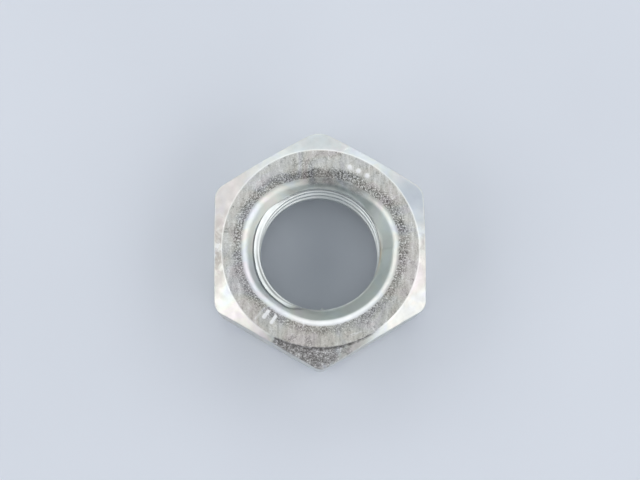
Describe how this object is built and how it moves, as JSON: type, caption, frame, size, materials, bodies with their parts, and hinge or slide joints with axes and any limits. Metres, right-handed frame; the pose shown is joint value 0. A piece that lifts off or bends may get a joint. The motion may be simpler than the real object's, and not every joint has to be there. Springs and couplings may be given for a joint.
{
  "type": "hex nut",
  "caption": "Thin hexagon nut, zinc-plated steel, with a coarse right-hand internal thread, a countersink at each end of the bore and chamfered corners.",
  "frame": {"origin": "centre of the lower bearing face, on the thread axis", "axes": "+Z along the thread axis towards the upper bearing face, which carries the pressed marks; +X is the outward normal of one wrench flat; +Y points to a corner, and the under-filled corner is at -Y"},
  "size_m": [0.036, 0.0408, 0.014],
  "materials": {
    "zinc_plate": "steel with a dull bright zinc plate, faintly iridescent, with forged and pressed marks showing through it"
  },
  "bodies": {
    "root": {"hex_nut": "zinc_plate"}
  },
  "joints": []
}
